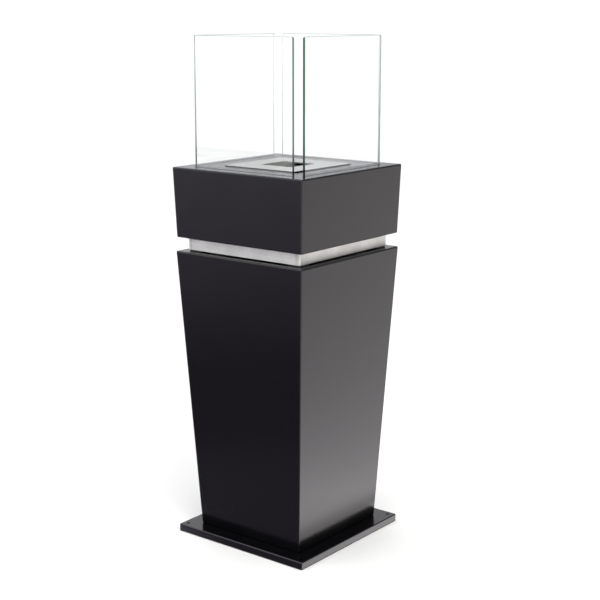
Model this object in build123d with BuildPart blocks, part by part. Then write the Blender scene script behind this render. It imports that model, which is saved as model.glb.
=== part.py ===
from build123d import *
from math import radians, tan
import os

# Outdoor heater: a folded steel pedestal with a drop-in burner inside four loose glass panels.
# Millimetres, +Z up, origin at the middle of the base plate's underside.
# The front face looks along -Y and the right face along +X.

# Base plate
base_width = 320.0
base_thickness = 15.0
base_corner_radius = 2.5
base_edge_bevel = 1.5
anchor_inset = 13.0
anchor_hole_diameter = 6.6

# Folded sheet of the column and the upper housing
sheet = 2.0
bend_radius = 3.0
foot_fold_bevel = 1.5

# Lower column
column_height = 570.0
column_foot_width = 254.0
column_top_width = 314.0
foot_flange_width = 26.0
foot_screw_inset = 14.0

# Neck between the column and the housing
neck_height = 27.0
neck_setback = 17.0
band_sheet = 1.5
band_bend_radius = 4.5
band_gap = 2.5
band_return = 9.0
band_seam = 0.8
spacer_width = 30.0
spacer_wall = 2.5

# Upper housing
housing_height = 138.0
housing_top_width = 320.0
housing_bottom_step = 1.5
housing_flange_width = 46.0

# Glass panels, their rubber strips and the channels under the deck
glass_height = 250.0
glass_sink = 22.0
glass_thickness = 5.0
glass_inset = 27.0
glass_corner_setback = 13.0
glass_corner_dub = 2.0
glass_arris = 1.0
glass_clearance = 0.3
glass_end_clearance = 0.5
strip_wall = 1.2
strip_web = 2.0
channel_sheet = 1.5
channel_flange_width = 6.0

# Burner plate, cup and rim
plate_rise = 2.5
plate_sheet = 1.2
plate_lap = 16.0
plate_edge_radius = 0.8
tab_depth = 9.0
tab_relief = 6.0
burner_width = 90.0
burner_height = 70.0
burner_clearance = 0.4
burner_sheet = 1.5
burner_corner_radius = 3.0
mouth_width = 74.0
mouth_lip_depth = 12.0
mouth_corner_radius = 2.0

# Ceramic wool and the screen that holds it down
wool_height = 42.0
wool_clearance = 0.5
screen_sheet = 1.0
screen_hole = 10.0
screen_bar = 3.0

# Burner well under the deck
well_width = 140.0
well_sheet = 1.5
well_corner_radius = 4.0
well_flange_width = 14.0

# Fasteners
foot_screw_diameter = 6.0
foot_screw_head_diameter = 12.0
foot_screw_socket_width = 4.0
foot_screw_socket_depth = 2.4
foot_nut_width = 10.0
foot_nut_height = 5.0
neck_bolt_diameter = 8.0
neck_bolt_head_width = 13.0
neck_bolt_head_height = 5.3
neck_washer_width = 17.0
neck_washer_thickness = 1.6
neck_nut_width = 13.0
neck_nut_height = 6.5
countersink_angle = 90.0
hole_clearance = 0.3
thread_clearance = 0.05
thread_end = 1.5

# Levels of the stack
column_top = base_thickness + column_height
housing_bottom = column_top + neck_height
deck = housing_bottom + housing_height
glass_top = deck + glass_height
plate_top = deck + plate_rise
deck_underside = deck - sheet

# Widths and places that follow from the sizes above
anchor_spacing = base_width - 2 * anchor_inset
foot_screw_spacing = column_foot_width - 2 * foot_screw_inset
neck_width = column_top_width - 2 * neck_setback
band_inner_width = neck_width - 2 * band_sheet
band_inner_radius = band_bend_radius - band_sheet
neck_bolt_spacing = band_inner_width - spacer_width
housing_bottom_width = column_top_width - 2 * housing_bottom_step
glass_offset = housing_top_width / 2 - glass_inset
glass_width = 2 * (glass_offset - glass_corner_setback)
glass_foot = deck - glass_sink
strip_inner_width = glass_thickness + 2 * glass_clearance
slot_width = strip_inner_width + 2 * strip_wall
slot_length = glass_width + 2 * glass_end_clearance
strip_foot = glass_foot - strip_web
plate_width = well_width + 2 * plate_lap
burner_foot = plate_top - burner_height
rim_underside = plate_top - burner_sheet
cup_inner_width = burner_width - 2 * burner_sheet
wool_foot = burner_foot + burner_sheet
wool_top = wool_foot + wool_height
sides = {"front": 0, "right": 90, "back": 180, "left": 270}


def tapered_outline(foot_width, top_width, foot, top):
    """Side view of a tapered box that stands between two levels."""
    return [
        (-foot_width / 2, foot),
        (foot_width / 2, foot),
        (top_width / 2, top),
        (-top_width / 2, top),
    ]


def save(piece, name):
    """Name a finished piece and write it as its own file."""
    piece.label = name
    export_step(piece, f"parts/{name}.step")


os.makedirs("parts", exist_ok=True)

# Base plate: bevelled upper edge, an anchor hole near each corner, and countersunk holes from below
# for the screws that hold the column
with BuildPart() as base_plate:
    with BuildSketch():
        RectangleRounded(base_width, base_width, base_corner_radius)
    extrude(amount=base_thickness)
    chamfer(base_plate.faces().sort_by(Axis.Z)[-1].edges(), length=base_edge_bevel)
    with GridLocations(anchor_spacing, anchor_spacing, 2, 2):
        Hole(anchor_hole_diameter / 2, depth=2 * base_thickness)
    with Locations(Plane.XY.rotated((180, 0, 0))):
        with GridLocations(foot_screw_spacing, foot_screw_spacing, 2, 2):
            CounterSinkHole(
                radius=foot_screw_diameter / 2 + hole_clearance,
                counter_sink_radius=foot_screw_head_diameter / 2 + hole_clearance,
                depth=2 * base_thickness,
                counter_sink_angle=countersink_angle,
            )
save(base_plate.part, "base_plate")

# Column: a tapered box folded from sheet, hollow, with a return flange round its open foot
with BuildPart() as column_shell:
    column_outline = tapered_outline(column_foot_width, column_top_width, base_thickness, column_top)
    with BuildSketch(Plane.XZ):
        Polygon(column_outline, align=None)
    extrude(amount=column_top_width / 2, both=True)
    with BuildSketch(Plane.YZ):
        Polygon(column_outline, align=None)
    extrude(amount=column_top_width / 2, both=True, mode=Mode.INTERSECT)
    cavity = offset(column_shell.part, amount=-sheet, mode=Mode.PRIVATE)
    corner_folds, upper_folds = column_shell.edges().group_by(Axis.Z)[1:]
    fillet(corner_folds + upper_folds, radius=bend_radius)
    chamfer(column_shell.faces().sort_by(Axis.Z)[0].edges(), length=foot_fold_bevel)
    add(cavity, mode=Mode.SUBTRACT)
    with BuildSketch(Plane.XY.offset(base_thickness)):
        foot_opening_width = column_foot_width - 2 * foot_flange_width
        Rectangle(foot_opening_width, foot_opening_width)
        with GridLocations(foot_screw_spacing, foot_screw_spacing, 2, 2):
            Circle(foot_screw_diameter / 2 + hole_clearance)
    extrude(amount=sheet, mode=Mode.SUBTRACT)
    with BuildSketch(Plane.XY.offset(column_top)):
        with GridLocations(neck_bolt_spacing, neck_bolt_spacing, 2, 2):
            Circle(neck_bolt_diameter / 2 + hole_clearance)
    extrude(amount=-sheet, mode=Mode.SUBTRACT)
save(column_shell.part, "column_shell")

# Countersunk socket screws up through the base plate, and the weld nuts on the column's foot flange
# that they pull on
foot_nut_seat = base_thickness + sheet
foot_screw_end = foot_nut_seat + foot_nut_height + thread_end
head_radius = foot_screw_head_diameter / 2
shank_radius = foot_screw_diameter / 2
head_height = (head_radius - shank_radius) / tan(radians(countersink_angle / 2))
with BuildPart() as base_screws:
    with BuildSketch(Plane.XZ):
        with BuildLine():
            Polyline(
                (0, 0),
                (head_radius, 0),
                (shank_radius, head_height),
                (shank_radius, foot_screw_end),
                (0, foot_screw_end),
                close=True,
            )
        make_face()
    screw = revolve(axis=Axis.Z, mode=Mode.PRIVATE)
    with GridLocations(foot_screw_spacing, foot_screw_spacing, 2, 2):
        add(screw)
    with BuildSketch():
        with GridLocations(foot_screw_spacing, foot_screw_spacing, 2, 2):
            RegularPolygon(foot_screw_socket_width / 2, 6, major_radius=False)
    extrude(amount=foot_screw_socket_depth, mode=Mode.SUBTRACT)
save(base_screws.part, "base_screws")

with BuildPart() as foot_nuts:
    with BuildSketch(Plane.XY.offset(foot_nut_seat)):
        with GridLocations(foot_screw_spacing, foot_screw_spacing, 2, 2):
            RegularPolygon(foot_nut_width / 2, 6, major_radius=False)
            Circle(foot_screw_diameter / 2 + thread_clearance, mode=Mode.SUBTRACT)
    extrude(amount=foot_nut_height)
save(foot_nuts.part, "foot_nuts")

# Neck spacers: upright square tubes at the neck's corners that carry the housing on the column
with BuildPart() as neck_spacers:
    with BuildSketch(Plane.XY.offset(column_top)) as spacer_ends:
        with GridLocations(neck_bolt_spacing, neck_bolt_spacing, 2, 2):
            Rectangle(spacer_width, spacer_width)
        chamfer(spacer_ends.vertices(), length=band_inner_radius)
        with GridLocations(neck_bolt_spacing, neck_bolt_spacing, 2, 2):
            spacer_bore = spacer_width - 2 * spacer_wall
            Rectangle(spacer_bore, spacer_bore, mode=Mode.SUBTRACT)
    extrude(amount=neck_height)
save(neck_spacers.part, "neck_spacers")

# Neck band: stainless strips on the spacers, with a shadow gap below them. The side strips are bent
# round the corners and meet the front and back strips at butt seams
with BuildPart() as neck_band:
    with BuildSketch(Plane.XY.offset(column_top + band_gap)):
        RectangleRounded(neck_width, neck_width, band_bend_radius)
        RectangleRounded(band_inner_width, band_inner_width, band_inner_radius, mode=Mode.SUBTRACT)
        with GridLocations(neck_width - 2 * band_return, neck_width, 2, 2):
            Rectangle(band_seam, 4 * band_sheet, mode=Mode.SUBTRACT)
    extrude(amount=neck_height - band_gap)
save(neck_band.part, "neck_band")

# Upper housing: a shallow tapered box folded from sheet, with the deck's four glass slots, the burner
# cut-out, and a wide return flange below that stands on the neck spacers
with BuildPart() as upper_housing:
    housing_outline = tapered_outline(housing_bottom_width, housing_top_width, housing_bottom, deck)
    with BuildSketch(Plane.XZ):
        Polygon(housing_outline, align=None)
    extrude(amount=housing_top_width / 2, both=True)
    with BuildSketch(Plane.YZ):
        Polygon(housing_outline, align=None)
    extrude(amount=housing_top_width / 2, both=True, mode=Mode.INTERSECT)
    cavity = offset(upper_housing.part, amount=-sheet, mode=Mode.PRIVATE)
    corner_folds, upper_folds = upper_housing.edges().group_by(Axis.Z)[1:]
    fillet(corner_folds + upper_folds, radius=bend_radius)
    chamfer(upper_housing.faces().sort_by(Axis.Z)[0].edges(), length=foot_fold_bevel)
    add(cavity, mode=Mode.SUBTRACT)
    with BuildSketch(Plane.XY.offset(housing_bottom)):
        flange_opening_width = housing_bottom_width - 2 * housing_flange_width
        Rectangle(flange_opening_width, flange_opening_width)
        with GridLocations(neck_bolt_spacing, neck_bolt_spacing, 2, 2):
            Circle(neck_bolt_diameter / 2 + hole_clearance)
    extrude(amount=sheet, mode=Mode.SUBTRACT)
    with BuildSketch(Plane.XY.offset(deck)):
        RectangleRounded(well_width, well_width, well_corner_radius)
        with PolarLocations(glass_offset, 4):
            Rectangle(slot_width, slot_length)
    extrude(amount=-sheet, mode=Mode.SUBTRACT)
save(upper_housing.part, "upper_housing")

# Bolts and washers inside the housing that clamp its flange, the spacers and the column together,
# and the weld nuts under the column's top
washer_seat = housing_bottom + sheet
head_seat = washer_seat + neck_washer_thickness
neck_nut_top = column_top - sheet
neck_nut_foot = neck_nut_top - neck_nut_height
with BuildPart() as neck_bolts:
    with BuildSketch(Plane.XY.offset(head_seat)):
        with GridLocations(neck_bolt_spacing, neck_bolt_spacing, 2, 2):
            RegularPolygon(neck_bolt_head_width / 2, 6, major_radius=False)
    extrude(amount=neck_bolt_head_height)
    with BuildSketch(Plane.XY.offset(head_seat)):
        with GridLocations(neck_bolt_spacing, neck_bolt_spacing, 2, 2):
            Circle(neck_bolt_diameter / 2)
    extrude(amount=neck_nut_foot - thread_end - head_seat)
save(neck_bolts.part, "neck_bolts")

with BuildPart() as neck_washers:
    with BuildSketch(Plane.XY.offset(washer_seat)):
        with GridLocations(neck_bolt_spacing, neck_bolt_spacing, 2, 2):
            Rectangle(neck_washer_width, neck_washer_width)
            Circle(neck_bolt_diameter / 2 + hole_clearance, mode=Mode.SUBTRACT)
    extrude(amount=neck_washer_thickness)
save(neck_washers.part, "neck_washers")

with BuildPart() as neck_nuts:
    with BuildSketch(Plane.XY.offset(neck_nut_foot)):
        with GridLocations(neck_bolt_spacing, neck_bolt_spacing, 2, 2):
            RegularPolygon(neck_nut_width / 2, 6, major_radius=False)
            Circle(neck_bolt_diameter / 2 + thread_clearance, mode=Mode.SUBTRACT)
    extrude(amount=neck_nut_height)
save(neck_nuts.part, "neck_nuts")

# Each side of the deck: a folded channel under the slot, a rubber strip in it, and the glass panel
for side, turn in sides.items():
    across = Plane.YZ.rotated((0, 0, turn))
    facing = Plane.XZ.rotated((0, 0, turn))

    with BuildPart() as glass_channel:
        with BuildSketch(across):
            with Locations((-glass_offset, deck_underside)):
                hanging = (Align.CENTER, Align.MAX)
                channel_width = slot_width + 2 * channel_sheet
                channel_depth = deck_underside - strip_foot
                Rectangle(channel_width + 2 * channel_flange_width, channel_sheet, align=hanging)
                Rectangle(channel_width, channel_depth + channel_sheet, align=hanging)
                Rectangle(slot_width, channel_depth, align=hanging, mode=Mode.SUBTRACT)
        extrude(amount=slot_length / 2, both=True)
    save(glass_channel.part, f"glass_channel_{side}")

    with BuildPart() as glass_strip:
        with BuildSketch(across):
            with Locations((-glass_offset, strip_foot)):
                Rectangle(slot_width, deck - strip_foot, align=(Align.CENTER, Align.MIN))
            with Locations((-glass_offset, glass_foot)):
                Rectangle(
                    strip_inner_width,
                    glass_sink,
                    align=(Align.CENTER, Align.MIN),
                    mode=Mode.SUBTRACT,
                )
        extrude(amount=slot_length / 2, both=True)
    save(glass_strip.part, f"glass_strip_{side}")

    with BuildPart() as glass_panel:
        with BuildSketch(facing.offset(glass_offset - glass_thickness / 2)) as pane:
            with Locations((0, glass_foot)):
                Rectangle(glass_width, glass_top - glass_foot, align=(Align.CENTER, Align.MIN))
            chamfer(pane.vertices(), length=glass_corner_dub)
        extrude(amount=glass_thickness)
        broad_faces = glass_panel.faces().sort_by(SortBy.AREA)[-2:]
        chamfer(broad_faces.edges(), length=glass_arris)
    save(glass_panel.part, f"glass_panel_{side}")

# Burner well: a folded tray whose flange is welded to the deck's underside round the cut-out
well_floor = burner_foot - well_sheet
with BuildPart() as burner_well:
    with BuildSketch(Plane.XY.offset(deck_underside)):
        flange_width = well_width + 2 * (well_sheet + well_flange_width)
        Rectangle(flange_width, flange_width)
    extrude(amount=-well_sheet)
    with BuildSketch(Plane.XY.offset(deck_underside)):
        well_outer_width = well_width + 2 * well_sheet
        RectangleRounded(well_outer_width, well_outer_width, well_corner_radius + well_sheet)
    extrude(amount=well_floor - deck_underside)
    with BuildSketch(Plane.XY.offset(deck_underside)):
        RectangleRounded(well_width, well_width, well_corner_radius)
    extrude(amount=burner_foot - deck_underside, mode=Mode.SUBTRACT)
save(burner_well.part, "burner_well")

# Burner plate: a shallow stainless lid with turned-down edges, and four tabs folded down at its
# square hole that guide the burner
with BuildPart() as burner_plate:
    with BuildSketch(Plane.XY.offset(deck)):
        Rectangle(plate_width, plate_width)
    extrude(amount=plate_rise)
    fillet(burner_plate.edges().group_by(Axis.Z)[-1], radius=plate_edge_radius)
    with BuildSketch(Plane.XY.offset(deck)):
        Rectangle(plate_width - 2 * plate_sheet, plate_width - 2 * plate_sheet)
    extrude(amount=plate_rise - plate_sheet, mode=Mode.SUBTRACT)
    plate_hole = burner_width + 2 * burner_clearance
    with BuildSketch(Plane.XY.offset(plate_top)):
        Rectangle(plate_hole, plate_hole)
    extrude(amount=-plate_sheet, mode=Mode.SUBTRACT)
    with BuildSketch(Plane.XY.offset(plate_top)):
        with PolarLocations((plate_hole + plate_sheet) / 2, 4):
            Rectangle(plate_sheet, plate_hole - 2 * tab_relief)
    extrude(amount=-tab_depth)
save(burner_plate.part, "burner_plate")

# Burner cup: the fuel box that stands in the well
with BuildPart() as burner_cup:
    with BuildSketch(Plane.XY.offset(burner_foot)):
        RectangleRounded(burner_width, burner_width, burner_corner_radius)
    extrude(amount=rim_underside - burner_foot)
    offset(amount=-burner_sheet, openings=burner_cup.faces().sort_by(Axis.Z)[-1])
save(burner_cup.part, "burner_cup")

# Burner rim: the frame on the cup, level with the plate, with a lip turned down round the mouth
with BuildPart() as burner_rim:
    with BuildSketch(Plane.XY.offset(rim_underside)):
        RectangleRounded(burner_width, burner_width, burner_corner_radius)
    extrude(amount=burner_sheet)
    with BuildSketch(Plane.XY.offset(rim_underside)):
        lip_width = mouth_width + 2 * burner_sheet
        RectangleRounded(lip_width, lip_width, mouth_corner_radius + burner_sheet)
    extrude(amount=burner_sheet - mouth_lip_depth)
    with BuildSketch(Plane.XY.offset(plate_top)):
        RectangleRounded(mouth_width, mouth_width, mouth_corner_radius)
    extrude(amount=-mouth_lip_depth, mode=Mode.SUBTRACT)
save(burner_rim.part, "burner_rim")

# Ceramic wool in the cup, and the perforated screen that lies on it
filling_width = cup_inner_width - 2 * wool_clearance
with BuildPart() as ceramic_wool:
    with BuildSketch(Plane.XY.offset(wool_foot)):
        Rectangle(filling_width, filling_width)
    extrude(amount=wool_height)
save(ceramic_wool.part, "ceramic_wool")

screen_pitch = screen_hole + screen_bar
screen_count = int((filling_width - screen_bar) // screen_pitch)
with BuildPart() as wool_screen:
    with BuildSketch(Plane.XY.offset(wool_top)):
        Rectangle(filling_width, filling_width)
        with GridLocations(screen_pitch, screen_pitch, screen_count, screen_count):
            Rectangle(screen_hole, screen_hole, mode=Mode.SUBTRACT)
    extrude(amount=screen_sheet)
save(wool_screen.part, "wool_screen")
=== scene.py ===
# %% [markdown]
# Outdoor heater, dressed for the camera
#
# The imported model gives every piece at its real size, in metres, with +Z up. This lesson adds what
# the eye expects of the real thing: satin paint on folded steel, brushed stainless round the neck
# and burner, clear glass with green edges, and the wool that soaks up the fuel. Nothing here moves
# or resizes a piece of the frame.

# %% Load the frame
import bmesh
import bpy
from math import cos, pi, radians, sqrt
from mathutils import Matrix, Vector, noise as lumps


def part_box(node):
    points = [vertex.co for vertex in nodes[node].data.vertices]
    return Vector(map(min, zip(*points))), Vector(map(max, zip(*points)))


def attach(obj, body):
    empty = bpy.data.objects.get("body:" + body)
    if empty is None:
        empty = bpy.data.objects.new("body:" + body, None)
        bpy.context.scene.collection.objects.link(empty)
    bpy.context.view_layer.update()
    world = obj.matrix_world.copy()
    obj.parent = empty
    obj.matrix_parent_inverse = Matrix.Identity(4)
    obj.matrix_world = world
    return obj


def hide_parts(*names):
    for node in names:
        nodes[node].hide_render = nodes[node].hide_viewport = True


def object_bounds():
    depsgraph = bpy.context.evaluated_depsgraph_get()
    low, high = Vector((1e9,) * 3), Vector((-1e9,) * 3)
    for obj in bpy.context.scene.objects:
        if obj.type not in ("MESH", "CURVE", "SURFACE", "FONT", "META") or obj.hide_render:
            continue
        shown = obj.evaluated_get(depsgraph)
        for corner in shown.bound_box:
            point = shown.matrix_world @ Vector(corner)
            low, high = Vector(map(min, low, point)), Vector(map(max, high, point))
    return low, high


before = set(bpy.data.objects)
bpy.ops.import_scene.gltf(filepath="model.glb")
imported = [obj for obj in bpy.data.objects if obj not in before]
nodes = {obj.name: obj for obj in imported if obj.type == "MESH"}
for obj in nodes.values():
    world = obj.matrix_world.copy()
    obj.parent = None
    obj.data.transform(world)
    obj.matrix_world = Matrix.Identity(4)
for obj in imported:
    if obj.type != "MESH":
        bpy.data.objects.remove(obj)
cad_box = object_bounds()
scene = bpy.context.scene

# %% [markdown]
# The camera
#
# The photograph was taken from the front right, a little above the glass, with a long lens. The
# place and the two angles come from lining up the object's corners. A camera looks along its own
# -Z, so a quarter turn about X brings it level, and the dip is taken off that quarter turn.

# %% Camera at the photograph's angle
camera_place = Vector((1.597, -1.984, 1.046))
camera_turn = radians(38.308)
camera_dip = radians(12.53)
film_width = 36.0
focal_length = 78.24
object_middle = (Vector(cad_box[0]) + Vector(cad_box[1])) / 2
camera_data = bpy.data.cameras.new("photo_camera")
camera_data.sensor_fit = "HORIZONTAL"
camera_data.sensor_width = film_width
camera_data.lens = focal_length
camera = bpy.data.objects.new("photo_camera", camera_data)
camera.location = camera_place
camera.rotation_euler = (pi / 2 - camera_dip, 0, camera_turn)
scene.collection.objects.link(camera)
scene.camera = camera
print("camera", round((camera_place - object_middle).length, 2), "m from the middle of the object")

# %% [markdown]
# The studio
#
# Satin black paint shows the room more than its own colour, so the room matters as much as the
# lamps. Its wall is lit on the left and dark on the right, and its ceiling glows only overhead, so
# that edges which face back stay dark. The camera, and the glass it looks through, see a plain white
# backdrop instead. A softbox at the front right lights the pale floor, so the soft shadow falls to
# the back left. A picture of a real studio could light the scene too, but a few nodes are easier to
# plan and need no file.


# %% Plain pale floor
def stage_plane(name, corners):
    """A flat four-cornered sheet of the studio."""
    mesh = bpy.data.meshes.new(name)
    mesh.from_pydata(corners, [], [(0, 1, 2, 3)])
    plane = bpy.data.objects.new(name, mesh)
    scene.collection.objects.link(plane)
    return plane


def level_corners(low, high, level):
    """The corners of a level rectangle, from its lowest and its highest X and Y."""
    places = (low, (high[0], low[1]), high, (low[0], high[1]))
    return [(x, y, level) for x, y in places]


def new_material(name):
    """A material with its node tree, its Principled shader and its output."""
    material = bpy.data.materials.new(name)
    material.use_nodes = True
    tree = material.node_tree
    shader = tree.nodes["Principled BSDF"]
    return material, tree, shader, tree.nodes["Material Output"]


floor_reach = 200.0
floor_drop = 0.0002
floor_colour = (0.76, 0.757, 0.728, 1)
floor_corners = level_corners((-floor_reach, -floor_reach), (floor_reach, floor_reach), -floor_drop)
floor = stage_plane("studio_floor", floor_corners)
floor_material, _, floor_shader, _ = new_material("pale_floor")
floor_shader.inputs["Base Color"].default_value = floor_colour
floor_shader.inputs["Roughness"].default_value = 0.9
floor_shader.inputs["Specular IOR Level"].default_value = 0.1
floor.data.materials.append(floor_material)
print("floor", 2 * floor_reach, "m square")


# %% Helpers for numbers in a node tree
def feed(tree, socket, value):
    """Set a socket to a number, a colour or a vector, or link another socket to it."""
    if isinstance(value, (int, float, tuple)):
        socket.default_value = value
    else:
        tree.links.new(value, socket)


def map_range(tree, value, low, high, to_low, to_high):
    """A Map Range node fed by a socket. Each limit is a number or another socket."""
    node = tree.nodes.new("ShaderNodeMapRange")
    labels = ("Value", "From Min", "From Max", "To Min", "To Max")
    for label, limit in zip(labels, (value, low, high, to_low, to_high)):
        feed(tree, node.inputs[label], limit)
    return node.outputs["Result"]


def math_node(tree, operation, *terms):
    """A Math node whose terms are numbers or sockets."""
    node = tree.nodes.new("ShaderNodeMath")
    node.operation = operation
    for socket, term in zip(node.inputs, terms):
        feed(tree, socket, term)
    return node.outputs["Value"]


# %% Helpers for places and directions
def vector_math(tree, operation, *terms):
    """A Vector Math node whose terms are triples or sockets. Gives all its outputs."""
    node = tree.nodes.new("ShaderNodeVectorMath")
    node.operation = operation
    for socket, term in zip(node.inputs, terms):
        feed(tree, socket, term)
    return node.outputs


def object_place(tree):
    """The socket that gives a point's place on the piece, in metres."""
    return tree.nodes.new("ShaderNodeTexCoord").outputs["Object"]


def axes_of(tree, vector):
    """The X, Y and Z sockets of a vector socket."""
    parts = tree.nodes.new("ShaderNodeSeparateXYZ")
    tree.links.new(vector, parts.inputs["Vector"])
    return parts.outputs


# %% Room with a lit side, a dark side and a bright ceiling
lit_side = (-0.905, -0.425, 0.0)
room_dark = 0.03
room_lit = 1.45
ceiling_start = 0.6
ceiling_full = 0.9
ceiling_light = 1.56
world = bpy.data.worlds.new("studio_room")
world.use_nodes = True
scene.world = world
room = world.node_tree
room_direction = room.nodes.new("ShaderNodeTexCoord").outputs["Generated"]
leftness = vector_math(room, "DOT_PRODUCT", room_direction, lit_side)["Value"]
walls = map_range(room, leftness, -1.0, 1.0, room_dark, room_lit)
overhead = axes_of(room, room_direction)["Z"]
ceiling = map_range(room, overhead, ceiling_start, ceiling_full, 0.0, ceiling_light)
room_light = math_node(room, "ADD", walls, ceiling)
print("room from", room_dark, "to", room_lit, "with a ceiling of", ceiling_light)

# %% White backdrop for the camera and for the glass it looks through
backdrop_white = 1.1
cool_white = (0.985, 0.99, 1.03, 1)
ray = room.nodes.new("ShaderNodeLightPath").outputs
unbounced = math_node(room, "LESS_THAN", ray["Glossy Depth"], 0.5)
through_glass = math_node(room, "MULTIPLY", ray["Is Transmission Ray"], unbounced)
direct = math_node(room, "MAXIMUM", ray["Is Camera Ray"], through_glass)
seen = room.nodes.new("ShaderNodeMix")
room.links.new(direct, seen.inputs["Factor"])
room.links.new(room_light, seen.inputs["A"])
seen.inputs["B"].default_value = backdrop_white
background = room.nodes["Background"].inputs
background["Color"].default_value = cool_white
room.links.new(seen.outputs["Result"], background["Strength"])
scene.view_settings.view_transform = "Standard"
print("backdrop", backdrop_white)

# %% Softbox at the front right
softbox_place = Vector((2.0, -1.1, 2.3))
softbox_target = Vector((0.1, -0.25, 0.0))
softbox_data = bpy.data.lights.new("front_softbox", "AREA")
softbox_data.shape = "SQUARE"
softbox_data.size = 1.6
softbox_data.energy = 48
softbox = bpy.data.objects.new("front_softbox", softbox_data)
softbox.location = softbox_place
softbox.rotation_euler = (softbox_target - softbox_place).to_track_quat("-Z", "Y").to_euler()
softbox.visible_camera = False
scene.collection.objects.link(softbox)
print("softbox", softbox_data.energy, "W")

# %% [markdown]
# Cards that the paint mirrors
#
# A photographer lays cards round a glossy object to shape what its faces mirror. The front face
# mirrors the floor on the left, so a dark card lies there. It is a little brighter far away and
# beside the base, and fades out to the right, so no border shows from other sides. The right face
# mirrors the floor at the back right, so that card is bright. It darkens close to the base, as a
# contact shadow does, and is a little brighter towards the back. The base's low sides see only the
# first strip of floor, so each has a narrow card. A card that stands at the front left shows only in
# a second reflection, and keeps the lit wall out of the base's top. Only mirrored rays see these
# cards, so they put no light or shadow on anything dull.

# %% Helpers for a card's glow
base_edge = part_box("base_plate")[1].x
card_level = 0.0004
card_gap = base_edge + 0.0015
strip_edge = base_edge + 0.02
floor_middle = (0.0, 0.0, 0.0)
dusk = (1.0, 0.9, 1.15)
daylight = (1.0, 0.962, 0.985)


def closeness_to(tree, place, middle):
    """One over the distance between a place socket and a middle."""
    distance = vector_math(tree, "DISTANCE", place, middle)["Value"]
    return math_node(tree, "DIVIDE", 1.0, distance)


def glow_between(tree, closeness, far, near):
    """A glow that changes with closeness. Far and near each pair a closeness with its glow."""
    return map_range(tree, closeness, far[0], near[0], far[1], near[1])


# %% Helper for a card that only mirrored rays see
def mix_shaders(tree, share, first, second):
    """A blend of two shader sockets by a share socket."""
    mix = tree.nodes.new("ShaderNodeMixShader")
    tree.links.new(share, mix.inputs["Fac"])
    tree.links.new(first, mix.inputs[1])
    tree.links.new(second, mix.inputs[2])
    return mix.outputs["Shader"]


def glow_card(name, corners, tint, glow_rule, mirrors=1, fade=None):
    """A card that glows by a rule and is seen after some mirrors. It may fade out between two X."""
    card = stage_plane(name, corners)
    material, tree, shader, output = new_material(name)
    tree.nodes.remove(shader)
    place = object_place(tree)
    glow = tree.nodes.new("ShaderNodeEmission")
    glow.inputs["Color"].default_value = (*tint, 1)
    feed(tree, glow.inputs["Strength"], glow_rule(tree, place))
    bounces = tree.nodes.new("ShaderNodeLightPath").outputs["Glossy Depth"]
    shown = math_node(tree, "GREATER_THAN", bounces, mirrors - 0.5)
    if fade:
        faded = map_range(tree, axes_of(tree, place)["X"], *fade, 1.0, 0.0)
        shown = math_node(tree, "MULTIPLY", shown, faded)
    unseen = tree.nodes.new("ShaderNodeBsdfTransparent").outputs["BSDF"]
    surface = mix_shaders(tree, shown, unseen, glow.outputs["Emission"])
    tree.links.new(surface, output.inputs["Surface"])
    card.data.materials.append(material)
    card.visible_camera = False
    card.visible_diffuse = False
    card.visible_transmission = False
    card.visible_shadow = False
    print(name, "is seen from mirrored bounce", mirrors)


# %% Dark card on the left
shade_reach = 4.6
shade_fade = (0.1, 1.0)
shade_far = (0.3, 0.53)
shade_near = (0.75, 0.14)
beside_far = (0.8, 0.0)
beside_near = (1.9, 0.22)


def shade_glow(tree, place):
    """Dark, but brighter far away and a little beside the base."""
    closeness = closeness_to(tree, place, floor_middle)
    open_floor = glow_between(tree, closeness, shade_far, shade_near)
    beside_base = glow_between(tree, closeness, beside_far, beside_near)
    return math_node(tree, "MAXIMUM", open_floor, beside_base)


shade_corners = level_corners((-shade_reach, -shade_reach), (shade_fade[1], -strip_edge), card_level)
glow_card("shade_card", shade_corners, dusk, shade_glow, fade=shade_fade)

# %% Narrow cards beside the base's front and right
front_half = 0.3
bright_end = (-0.25, -0.17, 0.0)
front_far = (4.3, 0.22)
front_near = (12.5, 0.9)
side_end = 0.5
side_far = (0.18, 1.2)
side_near = (3.0, 2.95)


def front_glow(tree, place):
    """Dim, and brighter towards the left end."""
    return glow_between(tree, closeness_to(tree, place, bright_end), front_far, front_near)


def side_glow(tree, place):
    """Bright, and most so close to the base."""
    return glow_between(tree, closeness_to(tree, place, floor_middle), side_far, side_near)


front_corners = level_corners((-front_half, -strip_edge), (front_half, -card_gap), card_level)
side_corners = level_corners((card_gap, -card_gap), (strip_edge, side_end), card_level)
glow_card("front_strip", front_corners, dusk, front_glow)
glow_card("base_strip", side_corners, daylight, side_glow)

# %% Bright card on the right
white_reach = 9.0
white_far = (0.18, 1.2)
white_near = (3.0, 3.0)
shadow_edge = base_edge + 0.062
shadow_share = 0.28
slant_start = 0.9
slant_full = 1.44
back_gain = 1.07


def white_glow(tree, place):
    """Bright near the base, darker in its contact shadow, and a little brighter towards the back."""
    axes = axes_of(tree, place)
    open_floor = glow_between(tree, closeness_to(tree, place, floor_middle), white_far, white_near)
    clear_of_base = map_range(tree, axes["X"], strip_edge, shadow_edge, shadow_share, 1.0)
    shaded_floor = math_node(tree, "MULTIPLY", open_floor, clear_of_base)
    slant = math_node(tree, "DIVIDE", axes["Y"], axes["X"])
    gain = map_range(tree, slant, slant_start, slant_full, 1.0, back_gain)
    return math_node(tree, "MULTIPLY", shaded_floor, gain)


white_corners = level_corners((strip_edge, -card_gap), (white_reach, white_reach), card_level)
glow_card("white_card", white_corners, daylight, white_glow)

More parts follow.
